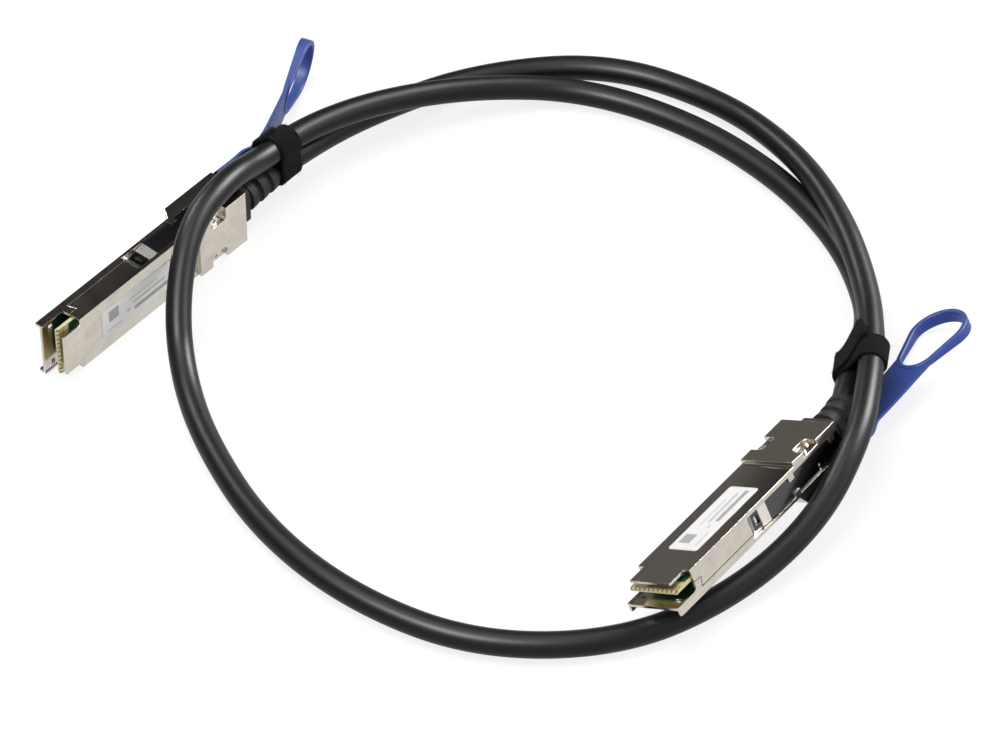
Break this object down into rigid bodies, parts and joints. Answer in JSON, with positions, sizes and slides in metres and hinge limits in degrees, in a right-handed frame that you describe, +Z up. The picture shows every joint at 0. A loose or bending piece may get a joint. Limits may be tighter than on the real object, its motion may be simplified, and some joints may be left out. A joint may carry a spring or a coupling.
{
  "type": "direct attach copper cable",
  "caption": "Coiled direct attach copper cable: pluggable metal connectors with sliding latches and blue pull tabs, joined by a black cable and bundled by hook-and-loop ties.",
  "frame": {"origin": "on the ground, in the middle of the box round the two plugs", "axes": "+Z up; +X to the right as seen from the open side of the coil, along the longer way across the two plugs; +Y away from that side"},
  "size_m": [0.2544, 0.2305, 0.0279],
  "materials": {
    "shell_nickel": "satin",
    "slide_steel": "satin",
    "tab_blue": "satin",
    "spring_steel": "polished",
    "card_green": "gloss",
    "pad_gold": "polished",
    "chip_black": "matt",
    "ceramic_tan": "matt",
    "pair_foil": "satin",
    "mould_black": "matt",
    "crimp_copper": "satin",
    "boot_rubber": "matt",
    "screw_steel": "satin",
    "label_white": "matt",
    "jacket_black": "satin",
    "tie_black": "matt"
  },
  "bodies": {
    "plugs_and_cable": {"top_shell_a": "shell_nickel", "bottom_shell_a": "shell_nickel", "return_spring_a": "spring_steel", "paddle_card_a": "card_green", "contact_pads_a": "pad_gold", "memory_chip_a": "chip_black", "capacitors_a": "ceramic_tan", "wire_pairs_a": "pair_foil", "wire_mould_a": "mould_black", "crimp_ring_a": "crimp_copper", "strain_relief_a": "boot_rubber", "shell_screws_a": "screw_steel", "label_a": "label_white", "top_shell_b": "shell_nickel", "bottom_shell_b": "shell_nickel", "return_spring_b": "spring_steel", "paddle_card_b": "card_green", "contact_pads_b": "pad_gold", "memory_chip_b": "chip_black", "capacitors_b": "ceramic_tan", "wire_pairs_b": "pair_foil", "wire_mould_b": "mould_black", "crimp_ring_b": "crimp_copper", "strain_relief_b": "boot_rubber", "shell_screws_b": "screw_steel", "label_b": "label_white", "cable": "jacket_black", "tie_a": "tie_black", "tie_b": "tie_black"},
    "latch_a": {"latch_slide_a": "slide_steel", "pull_tab_a": "tab_blue"},
    "latch_b": {"latch_slide_b": "slide_steel", "pull_tab_b": "tab_blue"}
  },
  "joints": [
    {"name": "pull_a", "type": "slide", "parent": "plugs_and_cable", "child": "latch_a", "axis": [0.6388, 0.7694, 0], "range_m": [0, 0.0025], "stiffness_N_per_m": 600, "deforming": ["return_spring_a"]},
    {"name": "pull_b", "type": "slide", "parent": "plugs_and_cable", "child": "latch_b", "axis": [0.6045, 0.7964, -0.0209], "range_m": [0, 0.0025], "stiffness_N_per_m": 600, "deforming": ["return_spring_b"]}
  ]
}
